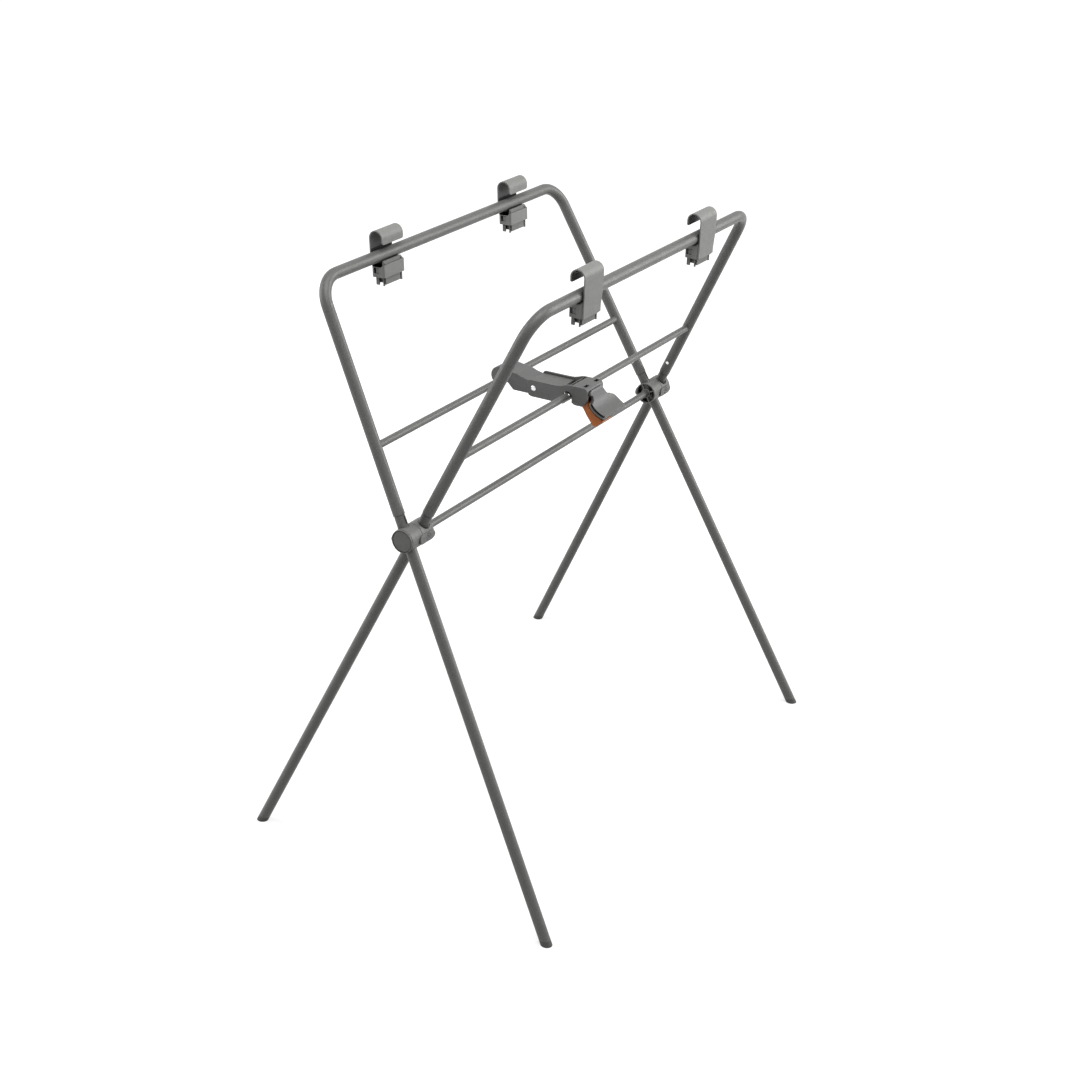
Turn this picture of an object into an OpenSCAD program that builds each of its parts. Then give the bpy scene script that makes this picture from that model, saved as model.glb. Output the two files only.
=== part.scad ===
// Folding stand for a baby bath: two splayed tube frames that cross at a pair of hubs,
// four hooks for the rim of the bath, and a jointed brace that locks the frames open.
// Origin on the floor under the middle of the stand. +Z is up and the pivot lies along X.
// Frame A leans to +Y above the pivot and frame B leans to -Y. The stand looks the same
// after half a turn about Z, apart from the brace.

/* [Stand] */
// Height of the pivot above the floor
pivot_h = 600; // [500:5:720]
// Distance between the middles of the two hubs
hub_span = 762; // [640:1:920]
// Lean of each frame from upright
lean = 26.5; // [25:0.25:30]
// Angle of the legs in the plane of their frame
splay = 5.65; // [4:0.05:7]
// Slanted distance from the pivot to the top bars
bar_reach = 413; // [345:1:500]
// Slanted distance from the pivot to the brace rails
rail_reach = 148; // [140:1:160]

/* [Tubes] */
// Outside diameter of the upper frame tubes
upper_d = 19; // [18.6:0.1:20]
// Outside diameter of the legs
leg_d = 18.2; // [16:0.1:18.4]
// Outside diameter of the neck that each leg has above its hub
neck_d = 17.4; // [15.5:0.1:17.6]
// Diameter of the brace rails
rail_d = 12; // [10:0.1:12.4]
// Wall of the tubes
wall = 1.2; // [1:0.1:1.5]
// Radius of the corners of the upper frames, on the tube's centre line
bend_r = 46; // [38:1:60]

/* [Hubs] */
// Diameter of a hub
hub_d = 39; // [36:0.5:44]
// Length of one half of a hub
hub_half = 29; // [28:0.5:31]
// Diameter of the cross rod
rod_d = 12; // [10:0.1:12.4]
// Diameter of the turned ends of the cross rod
pin_d = 8; // [6:0.5:8]

/* [Snap buttons] */
// Slanted distance from the pivot to the snap buttons
button_reach = 65; // [56:1:80]
// Diameter of a snap button
button_d = 6; // [5:0.5:7]
// Travel of a snap button
button_travel = 2; // [1:0.1:2.5]

/* [Hooks] */
// Distance between the two hooks on a bar
hook_pitch = 366; // [280:2:430]
// Distance of the hooks from the middle of the stand along the bars
hook_shift = 2; // [0:0.5:6]
// Width of a hook at the top
hook_w = 55; // [50:1:66]
// Height of the top of a hook over the middle of the bar
hook_h = 41.5; // [38:0.5:48]
// Thickness of the hook strap
strap_t = 2; // [1.8:0.1:3]

/* [Brace] */
// Width of the outer brace arm
brace_w = 52; // [48:1:60]
// Thickness of the side walls of the outer brace arm
cheek_t = 3; // [2.5:0.1:3.5]
// Offset of the middle of the brace from the middle of the stand
brace_x = -10; // [-20:1:20]
// Diameter of the knee rivets
rivet_d = 6; // [5:0.5:7]

/* [Hidden] */
// Open hub clearance, running clearance and the small gap between pieces that touch
gap = 0.3;
fit = 0.05;
slip = 0.1;
$fn = 64;

frame_step = 29;           // sideways distance between the legs of the two frames at a hub
half_span = hub_span / 2;
hub_r = hub_d / 2;
cap_t = 3;
hub_out = half_span + hub_half;
hub_in = half_span - hub_half;
pin_out = hub_out - cap_t - 0.2;
rod_end = hub_in + 4.2;
neck_top = 38;
neck_groove = 1.2;         // open ring under the end of each upper frame
spigot_d = upper_d - 2 * wall - 2 * slip;
spigot_top = button_reach + 30;
bar_y = bar_reach * sin(lean);
bar_z = pivot_h + bar_reach * cos(lean);
rail_y = rail_reach * sin(lean);
rail_z = pivot_h + rail_reach * cos(lean);
foot_collar = 16;
graphite = "#62625f";
plastic = "#6d6d6a";
hook_grey = "#8f918c";
orange = "#c8692f";
steel = "#c9c9c6";
rubber = "#1c1c1c";

// ---- placing ----

// s is +1 for frame A and -1 for frame B; e is -1 for the near end and +1 for the far end.
// Local Z runs up the frame from the pivot and local X stays along the stand.
module in_frame(s) {
    translate([0, 0, pivot_h]) rotate([-s * lean, 0, 0]) children();
}

function leg_x(s, e) = e * half_span - s * frame_step / 2;

// Local Z runs up one leg from the pivot.
module on_leg(s, e) {
    in_frame(s) translate([leg_x(s, e), 0, 0]) rotate([0, -e * splay, 0]) children();
}

// Local Y points outward from the stand, and local Z up, from the middle of a top bar.
module on_bar(s, e) {
    translate([e * hook_pitch / 2 + hook_shift, s * bar_y, bar_z]) rotate([0, 0, s > 0 ? 0 : 180])
        rotate([-hook_lean, 0, 0]) children();
}

// Local X points outward along the pivot from the middle of the hub at end e.
module on_hub(e) {
    translate([e * half_span, 0, pivot_h]) rotate([0, 0, e > 0 ? 0 : 180]) children();
}

// Origin on the middle plane of the brace at the height of the rails.
module at_knee() {
    translate([brace_x, 0, rail_z]) children();
}

// A cylinder along X from x0 to x1.
module rod_x(x0, x1, d) {
    translate([x0, 0, 0]) rotate([0, 90, 0]) cylinder(h = x1 - x0, d = d);
}

// A line of points with its corners cut, which eases it towards a curve.
function eased(p) = [p[0], for (i = [0:len(p) - 2]) each [0.75 * p[i] + 0.25 * p[i + 1],
    0.25 * p[i] + 0.75 * p[i + 1]], p[len(p) - 1]];

// A side view in Y and Z, made w wide about X = 0.
module side_plate(w) {
    translate([-w / 2, 0, 0]) rotate([90, 0, 90]) linear_extrude(w) children();
}

// ---- upper frames and rails ----

bend_thin = 0.1;           // how much a bend draws the tube down
// One bent U in its own plane, with X = 0 at its middle.
module u_solid(d) {
    turn = 90 - splay;
    tangent = bend_r * tan(turn / 2);
    bend_x = half_span - bar_reach * tan(splay) - tangent;
    leg_len = bar_reach / cos(splay) - neck_top - tangent;
    translate([-bend_x, 0, bar_reach]) rotate([0, 90, 0]) cylinder(h = 2 * bend_x, d = d);
    for (e = [-1, 1]) {
        translate([e * half_span, 0, 0]) rotate([0, -e * splay, 0]) translate([0, 0, neck_top])
            cylinder(h = leg_len, d = d);
        translate([e * bend_x, 0, bar_reach - bend_r]) rotate([90, 0, 0])
            rotate([0, 0, e > 0 ? splay : 90]) rotate_extrude(angle = turn) translate([bend_r, 0])
                circle(d = d - bend_thin);
    }
}

module button_hole(e, d) {
    translate([e * half_span, 0, 0]) rotate([0, -e * splay, 0]) translate([0, 0, button_reach])
        rotate([0, -e * 90, 0]) cylinder(h = upper_d, d = d);
}

module upper_frame(s) {
    color(graphite) in_frame(s) translate([-s * frame_step / 2, 0, 0]) difference() {
        u_solid(upper_d);
        u_solid(upper_d - 2 * wall);
        for (e = [-1, 1]) button_hole(e, button_d + 2 * fit);
    }
}

module brace_rail(s) {
    reach = half_span - rail_reach * tan(splay);
    color(graphite) in_frame(s) translate([-s * frame_step / 2, 0, 0]) difference() {
        translate([0, 0, rail_reach]) rod_x(-reach, reach, rail_d);
        for (e = [-1, 1]) translate([e * half_span, 0, 0]) rotate([0, -e * splay, 0])
            cylinder(h = 2 * rail_reach, d = upper_d + slip);
    }
}

module rail_b() {
    color(graphite) difference() {
        brace_rail(-1);
        rail_pin_holes();
    }
}

// ---- legs and feet ----

module leg(s, e) {
    slit_w = 2;
    color(graphite) difference() {
        on_leg(s, e) difference() {
            union() {
                mirror([0, 0, 1]) cylinder(h = 2 * pivot_h, d = leg_d);
                cylinder(h = hub_r + 1, d = leg_d);
                cylinder(h = neck_top - neck_groove, d = neck_d);
                cylinder(h = spigot_top, d = spigot_d);
            }
            translate([0, 0, -2 * pivot_h])
                cylinder(h = 2 * pivot_h + spigot_top + 1, d = spigot_d - 2 * wall);
            translate([0, 0, button_reach]) rotate([0, -e * 90, 0])
                cylinder(h = upper_d, d = button_d + 2 * fit);
            rotate([0, 0, s > 0 ? -90 : 90]) translate([0, -slit_w / 2, hub_r + 3])
                cube([upper_d, slit_w, neck_top - neck_groove - hub_r - 5]);
        }
        // holes for the pin of the cross rod
        translate([0, 0, pivot_h]) rod_x(leg_x(s, e) - 20, leg_x(s, e) + 20, pin_d + 2 * slip);
        // the end over the foot is cut level
        leg_foot_cut();
    }
}

foot_edge = 9;             // height of the leg's cut end over the floor
module leg_foot_cut() {
    translate([-hub_span, -hub_span, foot_edge - 4 * pivot_h])
        cube([2 * hub_span, 2 * hub_span, 4 * pivot_h]);
}

module foot(s, e) {
    color(plastic) difference() {
        on_leg(s, e) mirror([0, 0, 1]) union() {
            cylinder(h = 2 * pivot_h, d = spigot_d - 2 * wall - 2 * slip);
        }
        translate([-hub_span, -hub_span, foot_edge + 25]) cube([2 * hub_span, 2 * hub_span, 4 * pivot_h]);
        translate([-hub_span, -hub_span, -4 * pivot_h]) cube([2 * hub_span, 2 * hub_span, 4 * pivot_h]);
    }
    color(plastic) intersection() {
        on_leg(s, e) mirror([0, 0, 1]) cylinder(h = 2 * pivot_h, d = leg_d);
        translate([-hub_span, -hub_span, 0]) cube([2 * hub_span, 2 * hub_span, foot_edge - slip]);
    }
}

// ---- hubs ----

hook_lean = 1.8;           // lean of the hooks, away from the stand at the top
pad_l = 38;                // length, height and thickness of the pad on a hub half
pad_h = 16;
pad_t = 3;
rib_t = 1.6;
mouth_off = 1.6;

// The half of frame s. The outer half at end e belongs to the frame whose leg is further out.
module hub_half_solid(s, e) {
    outer = (s > 0) == (e < 0);
    seam = 0.3;
    difference() {
        union() {
            on_hub(e) {
                if (outer) rod_x(seam, hub_half - cap_t, hub_d);
                else rod_x(-hub_half, -seam, hub_d);
            }
            hub_pad(s, e, outer);
        }
        on_leg(s, e) translate([0, 0, -40]) cylinder(h = 80, d = leg_d + 2 * slip);
        // mouth of the socket, open on the outward side of the leg
        on_leg(s, e) translate([0, s * mouth_off, hub_r - 4.5]) cylinder(h = 20, d = leg_d + 1.4);
        on_hub(e) rod_x(-hub_half - 1, hub_half, pin_d + 2 * (s > 0 ? slip : fit));
        if (outer) outer_hollow(e); else inner_hollow(s, e);
        pad_screw_hole(s, e, outer);
    }
}

// The recess under the cap, with room for the clip on the end of the rod.
module outer_hollow(e) {
    on_hub(e) {
        rod_x(hub_half - cap_t - 1, hub_half, 18);
    }
}

// The open inner end: a rim, a boss round the rod, ribs, and pockets on both sides of the leg.
module inner_hollow(s, e) {
    depth = 12;
    difference() {
        on_hub(e) difference() {
            rod_x(-hub_half - 1, -hub_half + depth, hub_d - 4);
            rod_x(-hub_half - 2, -hub_half + depth + 1, rod_d + 5);
            for (a = [-26, 64, 154, 244]) rotate([a, 0, 0])
                translate([-hub_half - 2, -rib_t / 2, 0]) cube([depth + 3, rib_t, hub_d]);
        }
        on_leg(s, e) translate([0, 0, -40]) cylinder(h = 80, d = leg_d + 3);
    }
    on_hub(e) rod_x(-hub_half - 1, -hub_half + 4.6, rod_d + 2 * gap);
}

pad_reach = 2.6;           // how far a pad stands off the barrel
// A rounded pad on the outward side of the half. It reaches past the seam over the other half.
module hub_pad(s, e, outer) {
    lap = 9.5;
    inner_x = outer ? -lap : lap;
    outer_x = outer ? hub_half - cap_t : -hub_half;
    lo = min(inner_x, outer_x);
    len = abs(outer_x - inner_x);
    difference() {
        on_hub(e) rotate([0, 0, e > 0 ? 0 : 180]) translate([e > 0 ? lo : -lo - len, 0, -2])
            intersection() {
                translate([0, s > 0 ? 0 : -hub_r - pad_reach, 0]) pad_block(len);
                translate([0, 0, 2]) rod_x(-1, len + 1, hub_d + 2 * pad_reach);
            }
        // clearance over the other half, and nothing inside the barrel
        on_hub(e) rod_x(outer ? -hub_half : -1, outer ? 1 : hub_half, hub_d + 2 * gap);
        on_hub(e) rod_x(-hub_half - 1, hub_half + 1, hub_d - 4);
    }
}

module pad_block(len) {
    r = pad_h / 2;
    rotate([-90, 0, 0]) linear_extrude(hub_r + pad_reach) hull() {
        translate([r, 0]) circle(r);
        translate([len - r, 0]) circle(r);
    }
}

pad_screw_d = 11;
pad_screw_in = 4;
function pad_screw_x(outer) = outer ? 8 : -11.5;

module on_pad(s, e, outer) {
    on_hub(e) translate([pad_screw_x(outer), 0, -1]) rotate([s > 0 ? -90 : 90, 0, 0]) children();
}

module pad_screw_hole(s, e, outer) {
    side = e > 0 ? s : -s;
    on_pad(side, e, outer) translate([0, 0, hub_r + pad_reach - 1.2])
        cylinder(h = 4, d = pad_screw_d + 1.2);
    on_pad(side, e, outer) translate([0, 0, hub_r - pad_screw_in]) cylinder(h = 10, d = 3.6);
}

module pad_screw(s, e, outer) {
    side = e > 0 ? s : -s;
    on_pad(side, e, outer) difference() {
        union() {
            translate([0, 0, hub_r + pad_reach - 1.2 + 0.02]) cylinder(h = 1, d = pad_screw_d);
            translate([0, 0, hub_r - pad_screw_in + 0.3]) cylinder(h = pad_screw_in + 1.5, d = 3.4);
        }
        translate([0, 0, hub_r + pad_reach - 0.8]) for (a = [0, 90]) rotate([0, 0, a])
            translate([-2.4, -0.5, 0]) cube([4.8, 1, 2]);
    }
}

module hub_half_piece(s, e) {
    color(plastic) hub_half_solid(s, e);
}

module hub_cap(e) {
    color(plastic) on_hub(e) {
        difference() {
            rod_x(hub_half - cap_t + 0.02, hub_half, hub_d - 1);
            // rim, a groove inside it and a sunk face
            rod_x(hub_half - 0.5, hub_half + 1, hub_d - 3.6);
            difference() {
                rod_x(hub_half - 1.5, hub_half + 1, hub_d - 3.6);
                rod_x(hub_half - 2, hub_half + 2, hub_d - 5.6);
            }
        }
        difference() {
            rod_x(hub_half - cap_t - 0.9, hub_half - cap_t + 0.1, 18 - 2 * slip);
            rod_x(hub_half - cap_t - 2, hub_half - cap_t + 0.02, 14);
        }
    }
}

module hub_screws(s) {
    color(steel) for (e = [-1, 1]) pad_screw(s, e, (s > 0) == (e < 0));
}

module hub_washer(e) {
    color(steel) on_hub(e) difference() {
        rod_x(-0.25, 0.25, 24);
        rod_x(-1, 1, pin_d + 2 * slip);
    }
}

module cross_rod() {
    color(graphite) translate([0, 0, pivot_h]) {
        rod_x(-rod_end, rod_end, rod_d);
        rod_x(-pin_out, pin_out, pin_d);
    }
}

module rod_clips() {
    color(steel) for (e = [-1, 1]) on_hub(e) difference() {
        rod_x(hub_half - cap_t - 0.9, hub_half - cap_t - 0.2, 13);
        rod_x(hub_half - cap_t - 4, hub_half, pin_d);
    }
}

// ---- snap buttons ----

module snap_button(s, e) {
    stem_in = 2;
    color(steel) on_leg(s, e) translate([0, 0, button_reach]) rotate([0, -e * 90, 0])
        translate([0, 0, spigot_d / 2 - wall - stem_in]) {
            cylinder(h = upper_d / 2 - spigot_d / 2 + wall + stem_in + 1, d = button_d);
            translate([0, 0, upper_d / 2 - spigot_d / 2 + wall + stem_in + 1])
                cylinder(h = 1, d1 = button_d, d2 = button_d - 2);
        }
}

// A leaf bent to a V inside the neck of each leg, with its tip behind the button.
module snap_springs(s) {
    leaf_w = 5;
    leaf_t = 0.6;
    in_r = spigot_d / 2 - wall;
    leaf_l = 30;
    tip_x = in_r - 4.2;
    color(steel) for (e = [-1, 1]) on_leg(s, e) translate([0, 0, button_reach])
        rotate([0, 0, e > 0 ? 180 : 0]) translate([0, leaf_w / 2, 0]) rotate([90, 0, 0])
        linear_extrude(leaf_w) polygon([
            [tip_x, 4], [tip_x - leaf_t, 4], [tip_x - leaf_t, 0], [-in_r + 0.8, -leaf_l],
            [-in_r + 1.4, -leaf_l - 1.6], [in_r - 1.4, -leaf_l + 8], [in_r - 1.9, -leaf_l + 8.6],
            [-in_r + 1.9, -leaf_l + 0.4], [tip_x, -0.6]]);
}

// ---- hooks ----

// Side views of a hook are in V, outward from the middle of the bar, and W, up.
liner_t = 1.3;             // thickness of the soft liner between hook and bar
liner_end = -3;            // where it ends under the bar
bar_r = upper_d / 2;
strap_in = bar_r + slip + liner_t + slip;
strap_out = strap_in + strap_t;
arc_z = hook_h - strap_out;
lip_bottom = 19.5;
box_wall = 2;
box_front = -13.5;
box_top = -13.4;           // top of the front wall
box_rim = -17.4;           // top edge of the side wall at the low end
box_bottom = -34;
window_l = 10.4;
window_h = 9.4;
window_low = -28;
turn_v = -2;               // the jaw and the windows look the same after half a turn about this line

module hook(s, e) {
    low = hook_w / 2 - 6.5;
    color(hook_grey) on_bar(s, e) {
        // strap, narrower towards the bottom at one end, where its corner is round
        translate([0, strap_out, 0]) rotate([90, 0, 0]) linear_extrude(strap_t) polygon([
            [-hook_w / 2, arc_z], [-hook_w / 2, 3], [-low, box_bottom + 4], [-low + 1, box_bottom + 1.6],
            [-low + 2.7, box_bottom + 0.4], [-low + 5, box_bottom], [hook_w / 2 - 1.2, box_bottom],
            [hook_w / 2, box_bottom + 1.2], [hook_w / 2, arc_z]]);
        // curl over the top
        translate([-hook_w / 2, 0, arc_z]) rotate([90, 0, 90]) linear_extrude(hook_w) difference() {
            circle(strap_out);
            circle(strap_in);
            translate([-50, -100]) square([100, 100]);
        }
        // lip with round corners
        translate([0, -strap_in, 0]) rotate([90, 0, 0]) linear_extrude(strap_t) hull() {
            for (i = [-1, 1]) translate([i * (hook_w / 2 - 4), lip_bottom + 4]) circle(4);
            translate([-hook_w / 2, arc_z - 1]) square([hook_w, 1]);
        }
        hook_box();
    }
}

// The frame under the bar that the jaw snaps into, open at the top and the bottom.
module hook_box() {
    inner = hook_w - 2 * box_wall;
    difference() {
        intersection() {
            translate([0, 0, box_bottom]) linear_extrude(-box_bottom) box_outline();
            union() {
                // one end is low, with a flat edge
                translate([-hook_w / 2, 0, 0]) side_plate(hook_w) polygon([[box_front - 1, box_bottom - 1],
                    [box_front - 1, box_top], [-10.5, box_top], [-8.4, box_rim + 1.1], [-6, box_rim],
                    [strap_in + 1, box_rim], [strap_in + 1, box_bottom - 1]]);
                // the other end rises close round the bar
                translate([hook_w / 2 - 0.01, 0, 0]) side_plate(hook_w) difference() {
                    polygon([[box_front - 1, box_bottom - 1], [box_front - 1, box_top], [-8, box_top],
                        [-2, -12.4], [4, -4], [strap_in + 1, -4], [strap_in + 1, box_bottom - 1]]);
                    circle(strap_in + 1.2);
                }
            }
        }
        translate([-inner / 2, box_front + box_wall, box_bottom - 1])
            cube([inner, strap_in - box_front - box_wall, -box_bottom + 2]);
        half_turn() translate([-hook_w, turn_v - 1.7, window_low]) cube([hook_w, window_l, window_h]);
    }
}

// The outline of the box in plan, with round corners.
module box_outline() {
    hull() for (i = [-1, 1]) {
        translate([i * (hook_w / 2 - 3), box_front + 3]) circle(3);
        translate([i * (hook_w / 2 - 4.5), strap_in + strap_t / 2 - 4.5]) circle(4.5);
    }
}

// The children, and the same again turned half round about the middle of the jaw.
module half_turn() {
    children();
    translate([0, 2 * turn_v, 0]) rotate([0, 0, 180]) children();
}

jaw_half = 22.5;           // half the width of the jaw's skirt
jaw_low = -46;
jaw_front = box_front + box_wall + gap;

module hook_jaw(s, e) {
    inner_w = hook_w - 2 * box_wall - 2 * gap;
    core_top = box_rim - 2;
    core_low = box_bottom + 1.5;
    jaw_back = strap_in - gap;
    color(hook_grey) on_bar(s, e) {
        // core inside the box, with the latches that show in the windows
        translate([-inner_w / 2, jaw_front, core_low]) cube([inner_w, jaw_back - jaw_front, 5]);
        half_turn() translate([-hook_w / 2 + 0.7, turn_v - 1.4, window_low + gap])
            cube([8, 6.4, window_h - 1.2]);
        half_turn() translate([-inner_w / 2, turn_v - 1.4, core_low])
            cube([6, 6.4, window_low - core_low + 1]);
        // ledge that closes on the inner side of the bar, and its two studs
        translate([0, jaw_front + 2.6, 0]) rotate([90, 0, 0]) linear_extrude(2.6) polygon([
            [-inner_w / 2, core_low], [-inner_w / 2, -8], [-inner_w / 2 + 1, -7], [inner_w / 2 - 4.5, -7],
            [inner_w / 2, -11.5], [inner_w / 2, core_low]]);
        for (u = [-inner_w / 2 + 2.6, inner_w / 2 - 4.8]) translate([u, jaw_front + 1, -10.6])
            rotate([90, 0, 0]) cylinder(h = 2.1, d = 3, $fn = 32);
        // seat under the bar
        side_plate(2 * jaw_half - 14) difference() {
            translate([jaw_front + 1, core_low])
                square([liner_end - gap - jaw_front - 1, -bar_r - 0.7 - core_low]);
            circle(bar_r + slip);
            translate([jaw_front + 2.6, core_low + 5]) square([20, core_top - core_low - 7]);
        }
        half_turn() jaw_skirt();
    }
}

// Half of the skirt under the box: a panel, a narrow leg at one end and a wide leg at the other.
module jaw_skirt() {
    top = box_bottom + 3;
    translate([-21, jaw_front, jaw_low]) cube([38, 2, top - jaw_low]);
    translate([-jaw_half, jaw_front + 2.7, jaw_low - 2.6]) cube([2.6, 2.3, top - jaw_low + 2.6]);
    translate([jaw_half - 2.6, jaw_front, jaw_low - 1.6]) cube([2.6, 5.6, top - jaw_low + 1.6]);
    // wall between the two panels, a little way in
    translate([13.5, jaw_front + 1, jaw_low + 0.6])
        cube([1.8, -2 * jaw_front + 2 * turn_v - 2, top - jaw_low - 0.6]);
}

// A soft liner against the strap and round the outer side of the bar.
module hook_liner(s, e) {
    liner_w = hook_w - 2 * box_wall - 2 * gap;
    color(rubber) on_bar(s, e) {
        side_plate(hook_w - 2 * gap) translate([bar_r + slip, -3]) square([liner_t, 14]);
        side_plate(liner_w) intersection() {
            difference() {
                circle(strap_in - slip);
                circle(bar_r + slip);
            }
            translate([liner_end, -20]) square([20, 20.01]);
        }
        side_plate(liner_w) translate([bar_r + slip, -17]) square([liner_t, 16]);
    }
}

// ---- brace ----

arm_gap = 1;
arm_w = brace_w - 2 * cheek_t - 2 * arm_gap;
clip_r = rail_d / 2 + slip;
tail_end = -50;
tail_top = 10.2;

// Arm A: a clip over rail A, a body, and a flat tail that lies between the cheeks of arm B.
module brace_arm_a() {
    color(plastic) at_knee() difference() {
        side_plate(arm_w) difference() {
            union() {
                translate([rail_y + 4, 6.5]) circle(16);
                polygon([[rail_y + 4, 22.5], [47, 18], [34, 16.8], [23, 12.8], [12, tail_top],
                    [tail_end, tail_top], [tail_end, 5], [-9, 5], [-9, -3], [-4, -9], [4, -12.4],
                    [42, -12.4], [53, -1.5], [rail_y + 10, 0]]);
            }
            circle(r = clip_r);
            translate([rail_y, 0]) circle(clip_r);
            translate([rail_y - clip_r, -30]) square([2 * clip_r, 30]);
        }
        // shallow holes under the knee rivets
        for (i = [-1, 1]) translate([i * arm_w / 2, 0, 0]) rod_x(-1.5, 1.5, rivet_d);
        // hollow under the top
        side_plate(arm_w - 6) polygon([[8, -20], [8, 4], [22, 8], [34, 12], [48, 13], [48, -20]]);
    }
}

cheek_top = 13.8;
block_top = 19.4;
block_in = -74.6;
block_out = -103;
block_low = -13;
saddle_top = 8.4;

// The side view of one cheek of arm B.
module cheek_side() {
    difference() {
        polygon([[12, 7], [11.4, 10.4], [9.8, 12.8], [7, cheek_top], [-42, cheek_top], [-49, 14.4],
            [-56, 16.2], [-63, 18.6], [-68, block_top], [-96, block_top], [-99.6, 18.7],
            [-102, 16.8], [block_out, 14], [block_out, -1], [-101.8, -4.4], [-96.4, -11],
            [-93, block_low], [-81, block_low], [-77.2, -12], [-74.6, -9.4], [-73.6, -12.6],
            [-71.4, -14.6], [-69, -15], [4, -15], [9, -13], [12, -8]]);
        rail_slot_side();
    }
}

module rail_slot_side() {
    translate([-rail_y, 0]) circle(8);
    translate([-rail_y - 8, -30]) square([16, 30]);
}

module brace_arm_b() {
    inner = brace_w - 2 * cheek_t;
    color(plastic) at_knee() difference() {
        union() {
            for (i = [-1, 1]) translate([i * (brace_w - cheek_t) / 2, 0, 0]) side_plate(cheek_t) cheek_side();
            // saddle on the rail and the end block
            side_plate(inner + 0.02) difference() {
                polygon([[-59.4, 7], [-61, saddle_top], [block_in, saddle_top], [block_in, block_top],
                    [-96, block_top], [-99.6, 18.7], [-102, 16.8], [block_out, 14], [block_out, -1],
                    [-101.8, -4.4], [-96.4, -11], [-93, block_low], [-81, block_low], [-77.2, -12],
                    [-74, -9], [-74, 0], [-59.4, 0]]);
                translate([-rail_y, 0]) circle(clip_r);
                translate([-rail_y - 8, -30]) square([16, 30]);
            }
            // wall on the inner side of the rail slot
            translate([-inner / 2 - 0.01, -57.9, -15]) cube([inner + 0.02, 2, 13]);
            // two ribs over the saddle
            for (y = [-67.4, -71.8]) translate([-inner / 2 - 0.01, y - 0.8, saddle_top - 1])
                cube([inner + 0.02, 1.6, 17.4 - saddle_top + 1]);
        }
        for (i = [-1, 1]) translate([i * brace_w / 2, 0, 0]) rod_x(-cheek_t - 1, cheek_t + 1, rivet_d + 0.02);
        // pockets in the top of the end block
        for (x = [-19.4, 13.2]) translate([x, -97.2, 5]) cube([11.6, 6.4, 30]);
        // room for the lever and its pin
        translate([lever_x, 0, 0]) side_plate(lever_w + 2 * gap + 0.4)
            polygon([[-81, -20], [-81, 3], [-110, 3], [-110, -20]]);
        // blind holes for the pin of the lever
        translate([0, lever_y, lever_z])
            rod_x(-brace_w / 2 + pin_wall, brace_w / 2 - pin_wall, pin_small + 2 * fit);
    }
}

module knee_rivets() {
    color(steel) at_knee() for (i = [-1, 1]) mirror([i > 0 ? 0 : 1, 0, 0]) {
        rod_x(brace_w / 2 - cheek_t + 0.2, brace_w / 2 + 0.1, rivet_d);
        translate([brace_w / 2 + 0.02, 0, 0]) rotate([0, 90, 0]) cylinder(h = 1.4, d1 = 9.5, d2 = 6);
    }
}

// Pins through rail B, just outside arm B, that keep it in place along the rail.
rail_pin_d = 3.4;
module rail_pin_holes() {
    at_knee() for (i = [-1, 1]) translate([i * (brace_w / 2 + 2.6), -rail_y, 0]) rotate([48, 0, 0])
        translate([0, 0, -10]) cylinder(h = 20, d = rail_pin_d + 0.02);
}

module rail_pins() {
    color(steel) at_knee() for (i = [-1, 1])
        translate([i * (brace_w / 2 + 2.6), -rail_y, 0]) rotate([48, 0, 0]) {
        translate([0, 0, -rail_d / 2 - 0.6]) cylinder(h = rail_d + 1.2, d = rail_pin_d);
        translate([0, 0, rail_d / 2 + 0.6]) cylinder(h = 0.6, d1 = rail_pin_d, d2 = rail_pin_d - 1.2);
    }
}

lever_w = 34;
lever_x = -4;              // middle of the lever, from the middle of the brace
lever_y = -88;
lever_z = -4;
pin_small = 3;
pin_wall = 1.2;            // what is left of a side wall over each end of the lever's pin

// Handle piece on the end of arm B: a shell that drops down the block and flares outward.
module brace_grip() {
    off = 1.3;             // gap between the block and the grip, round a hidden tenon
    flare = [[block_out - off, 13.2], [block_out - off - 0.2, 14.4], [-105.8, 14.4], [-107.2, 12],
        [-108.4, 6], [-111, -4], [-117, -12], [-126, -18], [-136.5, -22]];
    back = [[-135.7, -26.9], [-124, -23], [-113.6, -16.4], [-107, -7.4], [-105.2, 0], [block_out - off, 3]];
    over = [[-109.6, -4.6], [-110.2, -5.6], [-116.1, -13], [-125.4, -19.2], [-134.3, -22.7]];
    under = [[-134.3, -25.3], [-124.3, -21.9], [-114.5, -15.7], [-108.7, -7.4], [-108.2, -4]];
    color(plastic) at_knee() {
        difference() {
            intersection() {
                side_plate(2 * brace_w + 20) polygon(concat(eased(eased(flare)), eased(eased(back))));
                translate([0, -90, 0]) grip_outline();
            }
            // hollow between the upper and the lower skin
            side_plate(2 * brace_w + 22) polygon(concat(eased(eased(over)), eased(eased(under))));
            // the upper skin stops short on the near side
            translate([-33, 0, 0]) side_plate(20) polygon([[-106, 2], [-109.2, -4.6], [-115.2, -13.5],
                [-124.8, -20.2], [-133.6, -24], [-140, -24], [-140, -10], [-112, 2]]);
        }
        translate([-9, block_out - off - 0.5, 5]) cube([18, off + 0.5, 6]);
    }
}

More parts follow.
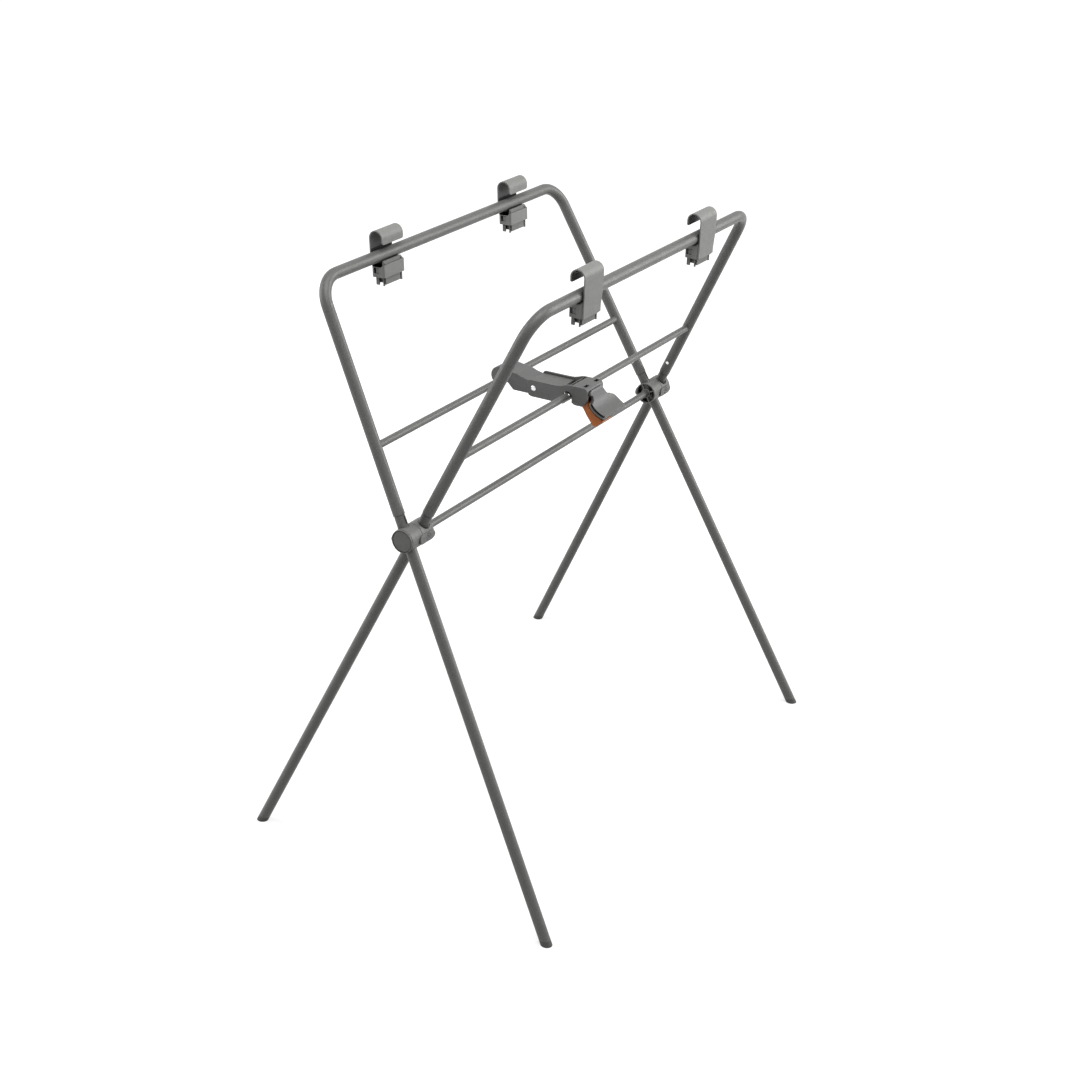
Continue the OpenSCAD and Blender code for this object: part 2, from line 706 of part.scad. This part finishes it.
// The grip seen along -Y and down: a neck that widens to the blade, more on the far side.
module grip_outline() {
    far = [[41, -30], [41.6, -23], [46.4, -18], [46.6, -11], [42, -6.4], [33, -4.4], [27, -1.4],
        [23, 4], [18.4, 10], [17, 15], [17, 30]];
    near = [[-15, 30], [-15, 13.4], [-19.4, 12], [-21.8, 7.6], [-16, 6.6], [-15, 1], [-16, -3.6],
        [-25, -6.4], [-27, -10], [-27, -30]];
    rotate([90, 0, 0]) linear_extrude(60) polygon(concat(eased(eased(far)), eased(near)));
}

module release_lever() {
    color(orange) at_knee() translate([lever_x, 0, 0]) difference() {
        intersection() {
            side_plate(lever_w) polygon([[-84.5, 0], [-91, 0.5], [-99.5, -7], [-103.5, -13],
                [-111, -20.5], [-121, -27.5], [-131, -32], [-129.5, -35.5], [-116, -45],
                [-111, -42.5], [-101, -29.5], [-94, -18], [-85, -9]]);
            // the far corner of the tip is cut away
            translate([0, 0, -60]) linear_extrude(80) polygon([[-lever_w / 2, -80], [lever_w / 2, -80],
                [lever_w / 2, -120], [lever_w / 2 - 9, -140], [-lever_w / 2, -140]]);
        }
        translate([0, lever_y, lever_z]) rod_x(-brace_w, brace_w, pin_small + 2 * fit);
        // hollow from above
        side_plate(lever_w - 5) polygon([[-94, -8], [-101, -15], [-110, -24], [-121, -31], [-125, -33],
            [-123, -30], [-113, -21], [-102, -12], [-96, -4]]);
    }
}

module lever_pin() {
    color(steel) at_knee() translate([0, lever_y, lever_z])
        rod_x(-brace_w / 2 + pin_wall + slip, brace_w / 2 - pin_wall - slip, pin_small);
}

module lever_spring() {
    color(steel) at_knee() translate([lever_x, 0, 0]) side_plate(8) polygon([[-81.4, 2.9],
        [-81.4, 2.4], [-90, 2.4], [-91.5, 1.4], [-91.9, 1.7], [-90.2, 2.9]]);
}

upper_frame(1);  // upper_frame_a
upper_frame(-1);  // upper_frame_b
brace_rail(1);  // brace_rail_a
rail_b();  // brace_rail_b
leg(1, -1);  // leg_a_near
leg(1, 1);  // leg_a_far
leg(-1, -1);  // leg_b_near
leg(-1, 1);  // leg_b_far
foot(1, -1);  // foot_a_near
foot(1, 1);  // foot_a_far
foot(-1, -1);  // foot_b_near
foot(-1, 1);  // foot_b_far
hub_half_piece(1, -1);  // hub_half_a_near
hub_half_piece(1, 1);  // hub_half_a_far
hub_half_piece(-1, -1);  // hub_half_b_near
hub_half_piece(-1, 1);  // hub_half_b_far
hub_cap(-1);  // hub_cap_near
hub_cap(1);  // hub_cap_far
hub_screws(1);  // hub_screws_a
hub_screws(-1);  // hub_screws_b
hub_washer(-1);  // hub_washer_near
hub_washer(1);  // hub_washer_far
cross_rod();
rod_clips();
snap_button(1, -1);  // snap_button_a_near
snap_button(1, 1);  // snap_button_a_far
snap_button(-1, -1);  // snap_button_b_near
snap_button(-1, 1);  // snap_button_b_far
snap_springs(1);  // snap_springs_a
snap_springs(-1);  // snap_springs_b
hook(1, -1);  // hook_a_near
hook(1, 1);  // hook_a_far
hook(-1, -1);  // hook_b_near
hook(-1, 1);  // hook_b_far
hook_jaw(1, -1);  // hook_jaw_a_near
hook_jaw(1, 1);  // hook_jaw_a_far
hook_jaw(-1, -1);  // hook_jaw_b_near
hook_jaw(-1, 1);  // hook_jaw_b_far
hook_liner(1, -1);  // hook_liner_a_near
hook_liner(1, 1);  // hook_liner_a_far
hook_liner(-1, -1);  // hook_liner_b_near
hook_liner(-1, 1);  // hook_liner_b_far
brace_arm_a();
brace_arm_b();
knee_rivets();
rail_pins();
brace_grip();
release_lever();
lever_pin();
lever_spring();
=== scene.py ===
import math

import bmesh
import bpy
from mathutils import Matrix, Vector


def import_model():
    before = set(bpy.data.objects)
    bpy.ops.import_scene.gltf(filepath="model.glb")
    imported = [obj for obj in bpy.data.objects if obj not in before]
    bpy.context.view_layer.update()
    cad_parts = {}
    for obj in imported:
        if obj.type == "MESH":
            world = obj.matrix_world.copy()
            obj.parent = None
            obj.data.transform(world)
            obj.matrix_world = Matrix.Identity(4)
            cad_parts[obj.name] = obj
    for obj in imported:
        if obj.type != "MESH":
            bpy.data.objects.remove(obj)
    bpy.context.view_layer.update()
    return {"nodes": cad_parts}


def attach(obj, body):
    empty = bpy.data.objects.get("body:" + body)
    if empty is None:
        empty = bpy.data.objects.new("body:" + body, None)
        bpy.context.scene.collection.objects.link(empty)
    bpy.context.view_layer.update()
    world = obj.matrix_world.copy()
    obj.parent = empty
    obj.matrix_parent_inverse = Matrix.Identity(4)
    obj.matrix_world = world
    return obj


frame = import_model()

NODES = frame["nodes"]

# The stand, in metres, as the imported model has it
PIVOT_H = 0.600                        # height of the pivot above the floor
HALF_SPAN = 0.381                      # from the middle of the stand to the middle of a hub
STEP = 0.029                           # frame B lies this far along X from frame A
LEAN = math.radians(26.5)              # of each frame, from upright
SPLAY = math.radians(5.65)             # of the legs, in the plane of their frame
RAIL_REACH = 0.148                     # slanted distance from the pivot to a brace rail
UPPER_D = 0.019                        # diameter of the upper frame tubes
RAIL_D = 0.012                         # diameter of the brace rails


# ---------- helpers ----------

def mesh_object(name, bm, body, material):
    """Turns a bmesh into a smooth piece that rides on a body."""
    mesh = bpy.data.meshes.new(name)
    bmesh.ops.recalc_face_normals(bm, faces=bm.faces)
    bm.to_mesh(mesh)
    bm.free()
    for p in mesh.polygons:
        p.use_smooth = True
    obj = bpy.data.objects.new(name, mesh)
    bpy.context.scene.collection.objects.link(obj)
    mesh.materials.append(material)
    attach(obj, body)
    return obj


def scaled(colour, k):
    return tuple(c * k for c in colour)


def opaque(colour, k):
    return (*scaled(colour, k), 1.0)


# ---------- materials ----------

# Sockets of a Mix node that mixes colours
MIX_FACTOR, MIX_A, MIX_B, MIX_RESULT = 0, 6, 7, 2


class Maker:
    """A material's node tree, with short calls for what is used often."""

    def __init__(self, name):
        self.material = bpy.data.materials.new(name)
        self.material.use_nodes = True
        self.tree = self.material.node_tree
        self.tree.nodes.clear()
        self.out = self.node("ShaderNodeOutputMaterial")
        self.coords = self.node("ShaderNodeTexCoord").outputs["Object"]

    def node(self, kind, **values):
        made = self.tree.nodes.new(kind)
        for key, value in values.items():
            setattr(made, key, value)
        return made

    def link(self, a, b):
        self.tree.links.new(a, b)

    def stretched(self, scale):
        """The place on the piece, scaled along each axis."""
        mapping = self.node("ShaderNodeMapping")
        mapping.inputs["Scale"].default_value = scale
        self.link(self.coords, mapping.inputs["Vector"])
        return mapping.outputs["Vector"]

    def noise(self, scale, detail=3.0, rough=0.55, vector=None):
        made = self.node("ShaderNodeTexNoise")
        made.inputs["Scale"].default_value = scale
        made.inputs["Detail"].default_value = detail
        made.inputs["Roughness"].default_value = rough
        self.link(vector or self.coords, made.inputs["Vector"])
        return made.outputs["Fac"]

    def span(self, value, low, high, start=0.3, stop=0.7):
        """low where the value is at start, high where it is at stop, and even in between."""
        made = self.node("ShaderNodeMapRange")
        made.inputs["From Min"].default_value = start
        made.inputs["From Max"].default_value = stop
        made.inputs["To Min"].default_value = low
        made.inputs["To Max"].default_value = high
        self.link(value, made.inputs["Value"])
        return made.outputs["Result"]

    def ramp(self, value, stops):
        made = self.node("ShaderNodeValToRGB")
        ramp = made.color_ramp
        while len(ramp.elements) < len(stops):
            ramp.elements.new(0.5)
        for element, (at, colour) in zip(ramp.elements, stops):
            element.position = at
            element.color = (*colour, 1.0)
        self.link(value, made.inputs["Fac"])
        return made.outputs["Color"]

    def mix(self, factor, a, b):
        """Colour a where the factor is 0 and colour b where it is 1."""
        made = self.node("ShaderNodeMix", data_type="RGBA")
        for index, value in ((MIX_FACTOR, factor), (MIX_A, a), (MIX_B, b)):
            if hasattr(value, "is_linked"):
                self.link(value, made.inputs[index])
            else:
                made.inputs[index].default_value = value
        return made.outputs[MIX_RESULT]

    def speckled(self, tone, colour, grit, amount, pale, pale_at, dark, dark_at):
        """Paler specks of a colour where the grit runs high, and darker ones where it runs low."""
        tone = self.mix(self.span(grit, 0.0, amount, *pale_at), tone, opaque(colour, pale))
        return self.mix(self.span(grit, amount, 0.0, *dark_at), tone, opaque(colour, dark))

    def bump(self, height, strength, distance, normal=None):
        made = self.node("ShaderNodeBump")
        made.inputs["Strength"].default_value = strength
        made.inputs["Distance"].default_value = distance
        self.link(height, made.inputs["Height"])
        if normal is not None:
            self.link(normal, made.inputs["Normal"])
        return made.outputs["Normal"]

    def rounded(self, radius):
        """The normal, as if every edge were rounded to this radius."""
        made = self.node("ShaderNodeBevel", samples=6)
        made.inputs["Radius"].default_value = radius
        return made.outputs["Normal"]

    def edges(self, rounded):
        """1 along a sharp edge, where the rounded normal turns away from the face, and 0 elsewhere; it
        marks where a highlight is painted.
        """
        turn = self.node("ShaderNodeVectorMath", operation="DOT_PRODUCT")
        self.link(rounded, turn.inputs[0])
        self.link(self.node("ShaderNodeNewGeometry").outputs["Normal"], turn.inputs[1])
        return self.span(turn.outputs["Value"], 1.0, 0.0, start=0.80, stop=0.99)

    def painted_shade_amount(self, reach, open_at=0.72):
        """How much shade is painted: 1 deep in a gap or hollow narrower than reach, and 0 where the
        surface is this open.
        """
        made = self.node("ShaderNodeAmbientOcclusion", samples=8)
        made.inputs["Distance"].default_value = reach
        return self.span(made.outputs["AO"], 1.0, 0.0, start=0.12, stop=open_at)

    def shader(self, colour, roughness, normal, **values):
        made = self.node("ShaderNodeBsdfPrincipled")
        for key, value in values.items():
            made.inputs[key].default_value = value
        self.link(colour, made.inputs["Base Color"])
        self.link(roughness, made.inputs["Roughness"])
        self.link(normal, made.inputs["Normal"])
        self.link(made.outputs["BSDF"], self.out.inputs["Surface"])
        return self.material


PAINTED_SHADE = (0.004, 0.004, 0.004, 1.0)      # painted shade at the bottom of a gap
RING_REACH = 0.0050                    # gaps narrower than this get painted shade on the tubes
HEAD_REACH = 0.003                     # and than this round the heads of pins and buttons
PAINTED_EDGE_HIGHLIGHT = 1.75                          # how much paler the painted highlight along an edge is


def powder_coat(name, colour, peel=1.0):
    """Satin powder coat: an orange-peel skin, fine specks, faint clouding and painted shade in narrow
    gaps.
    """
    m = Maker(name)
    cloud = m.noise(scale=9.0, detail=4.0)
    grit = m.noise(scale=620.0, detail=4.0, rough=0.72)
    tone = m.ramp(cloud, [(0.3, scaled(colour, 0.93)), (0.7, scaled(colour, 1.07))])
    tone = m.speckled(tone, colour, grit, amount=1.0, pale=1.38, pale_at=(0.50, 0.66),
                      dark=0.72, dark_at=(0.34, 0.48))
    # painted shade: the colour darkens towards black in narrow gaps and where parts meet
    tone = m.mix(m.painted_shade_amount(RING_REACH, open_at=0.90), tone, PAINTED_SHADE)
    worn = m.span(m.noise(scale=70.0, detail=4.0), 0.38, 0.50)
    skin = m.bump(m.noise(scale=620.0, detail=2.0), strength=0.40 * peel, distance=0.00028)
    skin = m.bump(grit, strength=0.35 * peel, distance=0.00010, normal=skin)
    return m.shader(tone, worn, skin, **{"Specular IOR Level": 0.45, "Coat Weight": 0.04,
                                         "Coat Roughness": 0.35})


def moulded(name, colour, rough, edge=0.0004, grain=1.0, reach=0.010, open_at=0.72):
    """Moulded plastic: fine grain, flow marks, painted highlights along its edges, and painted shade
    deep in its gaps.
    """
    m = Maker(name)
    flow = m.noise(scale=28.0, detail=5.0, rough=0.6, vector=m.stretched((1.0, 1.0, 2.6)))
    tone = m.ramp(flow, [(0.32, scaled(colour, 0.94)), (0.68, scaled(colour, 1.06))])
    grit = m.noise(scale=700.0, detail=4.0, rough=0.70)
    tone = m.speckled(tone, colour, grit, amount=0.8, pale=1.24, pale_at=(0.50, 0.68),
                      dark=0.80, dark_at=(0.32, 0.48))
    rounded = m.rounded(edge)
    # painted highlight: the colour turns paler along every sharp edge
    tone = m.mix(m.edges(rounded), tone, opaque(colour, PAINTED_EDGE_HIGHLIGHT))
    # painted shade: the colour darkens towards black deep in gaps and hollows
    tone = m.mix(m.painted_shade_amount(reach, open_at), tone, PAINTED_SHADE)
    worn = m.span(m.noise(scale=120.0, detail=4.0), rough - 0.05, rough + 0.06)
    skin = m.bump(grit, strength=0.45 * grain, distance=0.00009, normal=rounded)
    skin = m.bump(m.noise(scale=240.0, detail=2.0), strength=0.10 * grain, distance=0.0002,
                  normal=skin)
    return m.shader(tone, worn, skin, **{"Specular IOR Level": 0.4})


def plated(name, colour, rough):
    """Plated steel, turned or rolled: fine scratches, a few duller patches and painted shade in narrow
    gaps round its heads.
    """
    m = Maker(name)
    lines = m.noise(scale=1500.0, detail=2.0, rough=0.7, vector=m.stretched((0.06, 1.0, 1.0)))
    dull = m.noise(scale=160.0, detail=4.0)
    tone = m.ramp(dull, [(0.35, scaled(colour, 0.86)), (0.65, colour)])
    # painted shade: dark round the base of a head where it meets the part below
    tone = m.mix(m.painted_shade_amount(HEAD_REACH), tone, PAINTED_SHADE)
    worn = m.span(dull, rough - 0.05, rough + 0.12)
    skin = m.bump(lines, strength=0.25, distance=0.00003, normal=m.rounded(0.00025))
    return m.shader(tone, worn, skin, Metallic=1.0)


TUBE_GREY = (0.104, 0.103, 0.099)
LEG_GREY = (0.098, 0.097, 0.092)
HOOK_GREY = (0.206, 0.209, 0.198)
BRACE_GREY = (0.120, 0.120, 0.1175)
HUB_GREY = (0.146, 0.145, 0.140)
FOOT_GREY = (0.075, 0.074, 0.071)
LINER_BLACK = (0.014, 0.014, 0.014)
LEVER_ORANGE = (0.52, 0.150, 0.030)
BRIGHT_STEEL = (0.78, 0.78, 0.77)
SPRING_STEEL = (0.52, 0.52, 0.53)

paint = powder_coat("frame_paint", TUBE_GREY)
leg_paint = powder_coat("leg_paint", LEG_GREY, peel=0.9)
# the hooks get painted shade over a longer reach, so their hollows go dark
hook_plastic = moulded("hook_plastic", HOOK_GREY, 0.52, edge=0.0006, reach=0.026, open_at=0.93)
jaw_plastic = moulded("jaw_plastic", scaled(HOOK_GREY, 0.82), 0.56, edge=0.0004, reach=0.014)
brace_plastic = moulded("brace_plastic", BRACE_GREY, 0.50, edge=0.0012, reach=0.014)
grip_plastic = moulded("grip_plastic", scaled(BRACE_GREY, 1.02), 0.46, edge=0.0008, reach=0.016)
hub_plastic = moulded("hub_plastic", HUB_GREY, 0.50, edge=0.0007)
cap_plastic = moulded("cap_plastic", scaled(HUB_GREY, 0.86), 0.55, edge=0.0006)
foot_plastic = moulded("foot_plastic", FOOT_GREY, 0.62, edge=0.0008)
liner_rubber = moulded("liner_rubber", LINER_BLACK, 0.72, edge=0.0003)
lever_plastic = moulded("lever_plastic", LEVER_ORANGE, 0.40, edge=0.0009, grain=0.7)
bright_steel = plated("bright_steel", BRIGHT_STEEL, 0.30)
spring_steel = plated("spring_steel", SPRING_STEEL, 0.32)

# A node takes the finish of the first row that its name starts with
FINISH = (
    ("upper_frame", paint),
    ("brace_rail", paint),
    ("cross_rod", paint),
    ("leg_", leg_paint),
    ("foot_", foot_plastic),
    ("hub_half", hub_plastic),
    ("hub_cap", cap_plastic),
    ("hub_screws", cap_plastic),
    ("hub_washer", bright_steel),
    ("rod_clips", spring_steel),
    ("snap_button", bright_steel),
    ("snap_springs", spring_steel),
    ("hook_liner", liner_rubber),
    ("hook_jaw", jaw_plastic),
    ("hook_", hook_plastic),
    ("brace_arm", brace_plastic),
    ("knee_rivets", bright_steel),
    ("rail_pins", bright_steel),
    ("brace_grip", grip_plastic),
    ("release_lever", lever_plastic),
    ("lever_pin", bright_steel),
    ("lever_spring", spring_steel),
)
for node_name, node_object in NODES.items():
    for prefix, finish in FINISH:
        if node_name.startswith(prefix):
            node_object.data.materials.clear()
            node_object.data.materials.append(finish)
            break


# ---------- weld beads where the brace rails meet the frames ----------

BEAD = 0.0016                          # height of a bead
BEAD_SUNK = 0.0003                     # how far its edges lie inside the tubes
BEAD_HOLLOW = 1.6                      # how hollow its profile is, 1 being straight
AROUND, ACROSS = 96, 8                 # faces of a bead, round the rail and across the bead


def frame_matrix(side):
    """Local Z runs up frame A (side 1) or B (side -1) from the pivot."""
    return Matrix.Translation((0, 0, PIVOT_H)) @ Matrix.Rotation(-side * LEAN, 4, "X")


def ripple(turn):
    """How high the bead is at this turn round the rail, as a share of its height."""
    coarse, fine = math.sin(9 * turn + 1.0), math.sin(22 * turn)
    return 1.0 + 0.10 * fine + 0.05 * coarse


def weld_bead(side, end):
    """A ring of small ripples round the rail, flared on to the tube."""
    letter = "a" if side > 0 else "b"
    place = frame_matrix(side)
    tube_r, rail_r = UPPER_D / 2, RAIL_D / 2
    axis_x = end * (HALF_SPAN - RAIL_REACH * math.tan(SPLAY)) - side * STEP / 2
    bm = bmesh.new()
    rings = []
    for i in range(AROUND):
        t = 2 * math.pi * i / AROUND
        bead = BEAD * ripple(t)
        ring = []
        for j in range(ACROSS + 1):
            f = j / ACROSS
            r = rail_r - BEAD_SUNK + bead * f ** BEAD_HOLLOW
            y, z = r * math.cos(t), r * math.sin(t)
            on_tube = math.sqrt(max(tube_r ** 2 - y ** 2, 0.0))
            rise = bead * (1 - f) ** BEAD_HOLLOW
            x = axis_x - end * (on_tube - BEAD_SUNK + rise + z * math.tan(SPLAY))
            ring.append(bm.verts.new(place @ Vector((x, y, RAIL_REACH + z))))
        rings.append(ring)
    for i in range(AROUND):
        a, b = rings[i], rings[(i + 1) % AROUND]
        for j in range(ACROSS):
            bm.faces.new((a[j], a[j + 1], b[j + 1], b[j]))
    mesh_object("weld_%s_%s" % (letter, "near" if end < 0 else "far"), bm, "frame_" + letter, paint)


for side in (1, -1):
    for end in (-1, 1):
        weld_bead(side, end)


# ---------- floor, light and camera ----------

FLOOR_HALF = 14.0                      # half the side of the floor
FLOOR_DROP = 0.0005                    # how far it lies under the feet
FLOOR_GREY = (0.40, 0.40, 0.40, 1)
SHADOW_FROM, SHADOW_TO = 0.45, 1.35    # distances between which the floor turns pure white
SHADOW_GLOW = 0.70                     # how much it glows nearer than that, to keep its shadow
SURROUNDINGS = 0.16                    # light of the white surroundings on what doesn't mirror them

# The photograph's own view, from a fit to the axes of the tubes
AZIMUTH, ELEVATION, ROLL = math.radians(-57.87), math.radians(25.22), math.radians(0.394)
CAMERA_AT = (-2.46506, -1.53288, 1.81542)
FOCAL_PX, FRAME_PX = 1851.3, 1072
SENSOR_MM = 36.0


def floor():
    """A plain floor that the camera sees as white, with a soft shadow round the stand."""
    mesh = bpy.data.meshes.new("studio_floor")
    corners = [(x * FLOOR_HALF, y * FLOOR_HALF, 0) for x, y in ((-1, -1), (1, -1), (1, 1), (-1, 1))]
    mesh.from_pydata(corners, [], [(0, 1, 2, 3)])
    obj = bpy.data.objects.new("studio_floor", mesh)
    obj.location.z = -FLOOR_DROP
    bpy.context.scene.collection.objects.link(obj)
    m = Maker("floor_white")
    diffuse = m.node("ShaderNodeBsdfDiffuse")
    diffuse.inputs["Color"].default_value = FLOOR_GREY
    glow = m.node("ShaderNodeEmission")
    path = m.node("ShaderNodeLightPath")
    seen = m.node("ShaderNodeMath", operation="MAXIMUM")
    m.link(path.outputs["Is Camera Ray"], seen.inputs[0])
    m.link(path.outputs["Is Glossy Ray"], seen.inputs[1])
    away = m.node("ShaderNodeVectorMath", operation="LENGTH")
    m.link(m.coords, away.inputs[0])
    level = m.node("ShaderNodeMapRange", interpolation_type="SMOOTHSTEP")
    for key, value in (("From Min", SHADOW_FROM), ("From Max", SHADOW_TO),
                       ("To Min", SHADOW_GLOW), ("To Max", 1.0)):
        level.inputs[key].default_value = value
    m.link(away.outputs["Value"], level.inputs["Value"])
    shown = m.node("ShaderNodeMath", operation="MULTIPLY")
    m.link(seen.outputs[0], shown.inputs[0])
    m.link(level.outputs["Result"], shown.inputs[1])
    m.link(shown.outputs[0], glow.inputs["Strength"])
    both = m.node("ShaderNodeAddShader")
    m.link(diffuse.outputs[0], both.inputs[0])
    m.link(glow.outputs[0], both.inputs[1])
    m.link(both.outputs[0], m.out.inputs["Surface"])
    mesh.materials.append(m.material)


def area_light(name, place, target, size, power):
    data = bpy.data.lights.new(name, "AREA")
    data.shape = "RECTANGLE"
    data.size, data.size_y = size
    data.energy = power
    obj = bpy.data.objects.new(name, data)
    obj.location = place
    obj.rotation_euler = (Vector(target) - Vector(place)).to_track_quat("-Z", "Y").to_euler()
    bpy.context.scene.collection.objects.link(obj)


def world():
    """White to the camera and in mirrors, and a faint even light otherwise."""
    made = bpy.data.worlds.new("studio")
    bpy.context.scene.world = made
    made.use_nodes = True
    tree = made.node_tree
    tree.nodes.clear()
    out = tree.nodes.new("ShaderNodeOutputWorld")
    back = tree.nodes.new("ShaderNodeBackground")
    path = tree.nodes.new("ShaderNodeLightPath")
    level = tree.nodes.new("ShaderNodeMapRange")
    level.inputs["To Min"].default_value = SURROUNDINGS
    level.inputs["To Max"].default_value = 1.0
    white = tree.nodes.new("ShaderNodeMath")
    white.operation = "MAXIMUM"
    tree.links.new(path.outputs["Is Camera Ray"], white.inputs[0])
    tree.links.new(path.outputs["Is Glossy Ray"], white.inputs[1])
    tree.links.new(white.outputs[0], level.inputs["Value"])
    tree.links.new(level.outputs["Result"], back.inputs["Strength"])
    back.inputs["Color"].default_value = (1, 1, 1, 1)
    tree.links.new(back.outputs[0], out.inputs["Surface"])


def camera():
    back = Vector((math.sin(AZIMUTH) * math.cos(ELEVATION),
                   -math.cos(AZIMUTH) * math.cos(ELEVATION),
                   math.sin(ELEVATION)))
    level_x = Vector((0, 0, 1)).cross(back).normalized()
    level_y = back.cross(level_x)
    x = level_x * math.cos(ROLL) + level_y * math.sin(ROLL)
    y = level_y * math.cos(ROLL) - level_x * math.sin(ROLL)
    data = bpy.data.cameras.new("camera")
    data.sensor_fit = "HORIZONTAL"
    data.sensor_width = SENSOR_MM
    data.lens = FOCAL_PX * SENSOR_MM / FRAME_PX
    data.clip_start, data.clip_end = 0.05, 100.0
    obj = bpy.data.objects.new("camera", data)
    place = Matrix((x, y, back)).transposed().to_4x4()
    place.translation = CAMERA_AT
    obj.matrix_world = place
    bpy.context.scene.collection.objects.link(obj)
    bpy.context.scene.camera = obj


floor()
world()
area_light("top", place=(-0.7, -0.9, 3.7), target=(0, 0, 0.6), size=(2.6, 2.6), power=96)
area_light("right", place=(2.5, -2.5, 1.9), target=(0, 0, 0.55), size=(1.4, 2.6), power=95)
area_light("left", place=(-1.5, 3.4, 1.9), target=(0, 0, 0.55), size=(1.4, 2.6), power=70)
camera()
bpy.context.scene.view_settings.view_transform = "Standard"
